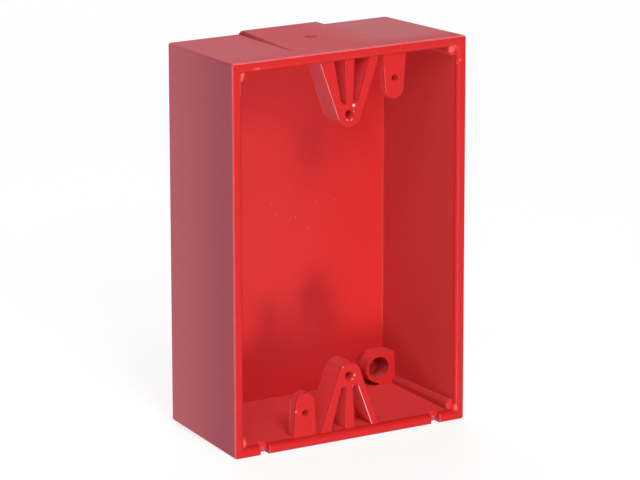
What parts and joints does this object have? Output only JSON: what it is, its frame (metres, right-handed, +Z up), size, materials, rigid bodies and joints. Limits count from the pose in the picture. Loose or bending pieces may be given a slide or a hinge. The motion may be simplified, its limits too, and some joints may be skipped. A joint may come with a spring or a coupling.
{
  "type": "surface mount back box",
  "caption": "Deep open-fronted plastic wall box with screw brackets and tabs inside its rim, wall-screw bosses in opposite back corners and a flat conduit pad on top.",
  "frame": {"origin": "under the middle of the box, on the plane of its lowest edge", "axes": "+Z up, +Y towards the wall behind the box, so the open front faces -Y; +X to the right seen from the front"},
  "size_m": [0.0834, 0.0434, 0.124],
  "materials": {
    "red_plastic": "satin, finely textured outside and smoother inside"
  },
  "bodies": {
    "root": {"back_box": "red_plastic"}
  },
  "joints": []
}
